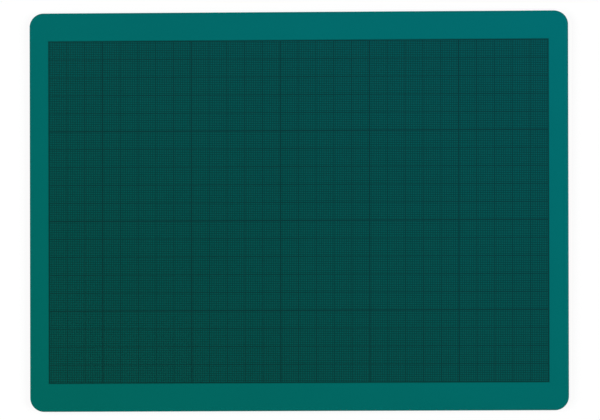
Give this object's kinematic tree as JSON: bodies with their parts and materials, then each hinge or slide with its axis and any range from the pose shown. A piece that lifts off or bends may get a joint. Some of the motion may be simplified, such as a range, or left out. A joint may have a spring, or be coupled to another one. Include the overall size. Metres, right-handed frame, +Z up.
{
  "type": "cutting mat",
  "caption": "Flat craft cutting mat with rounded corners: bonded vinyl plies and a printed millimetre grid field inside bare margins.",
  "frame": {"origin": "middle of the underside, on the surface that the mat lies on", "axes": "+X along the long side, to the right in the picture; +Y towards the far long side, up in the picture; +Z up, out of the printed cutting face"},
  "size_m": [0.302, 0.222, 0.0031],
  "materials": {
    "cutting_vinyl": "satin",
    "core_vinyl": "matte",
    "reverse_vinyl": "matte",
    "ruling_ink": "satin"
  },
  "bodies": {
    "root": {"top_skin": "cutting_vinyl", "core_sheet": "core_vinyl", "bottom_skin": "reverse_vinyl", "grid_lines_upright": "ruling_ink", "grid_lines_level": "ruling_ink"}
  },
  "joints": []
}
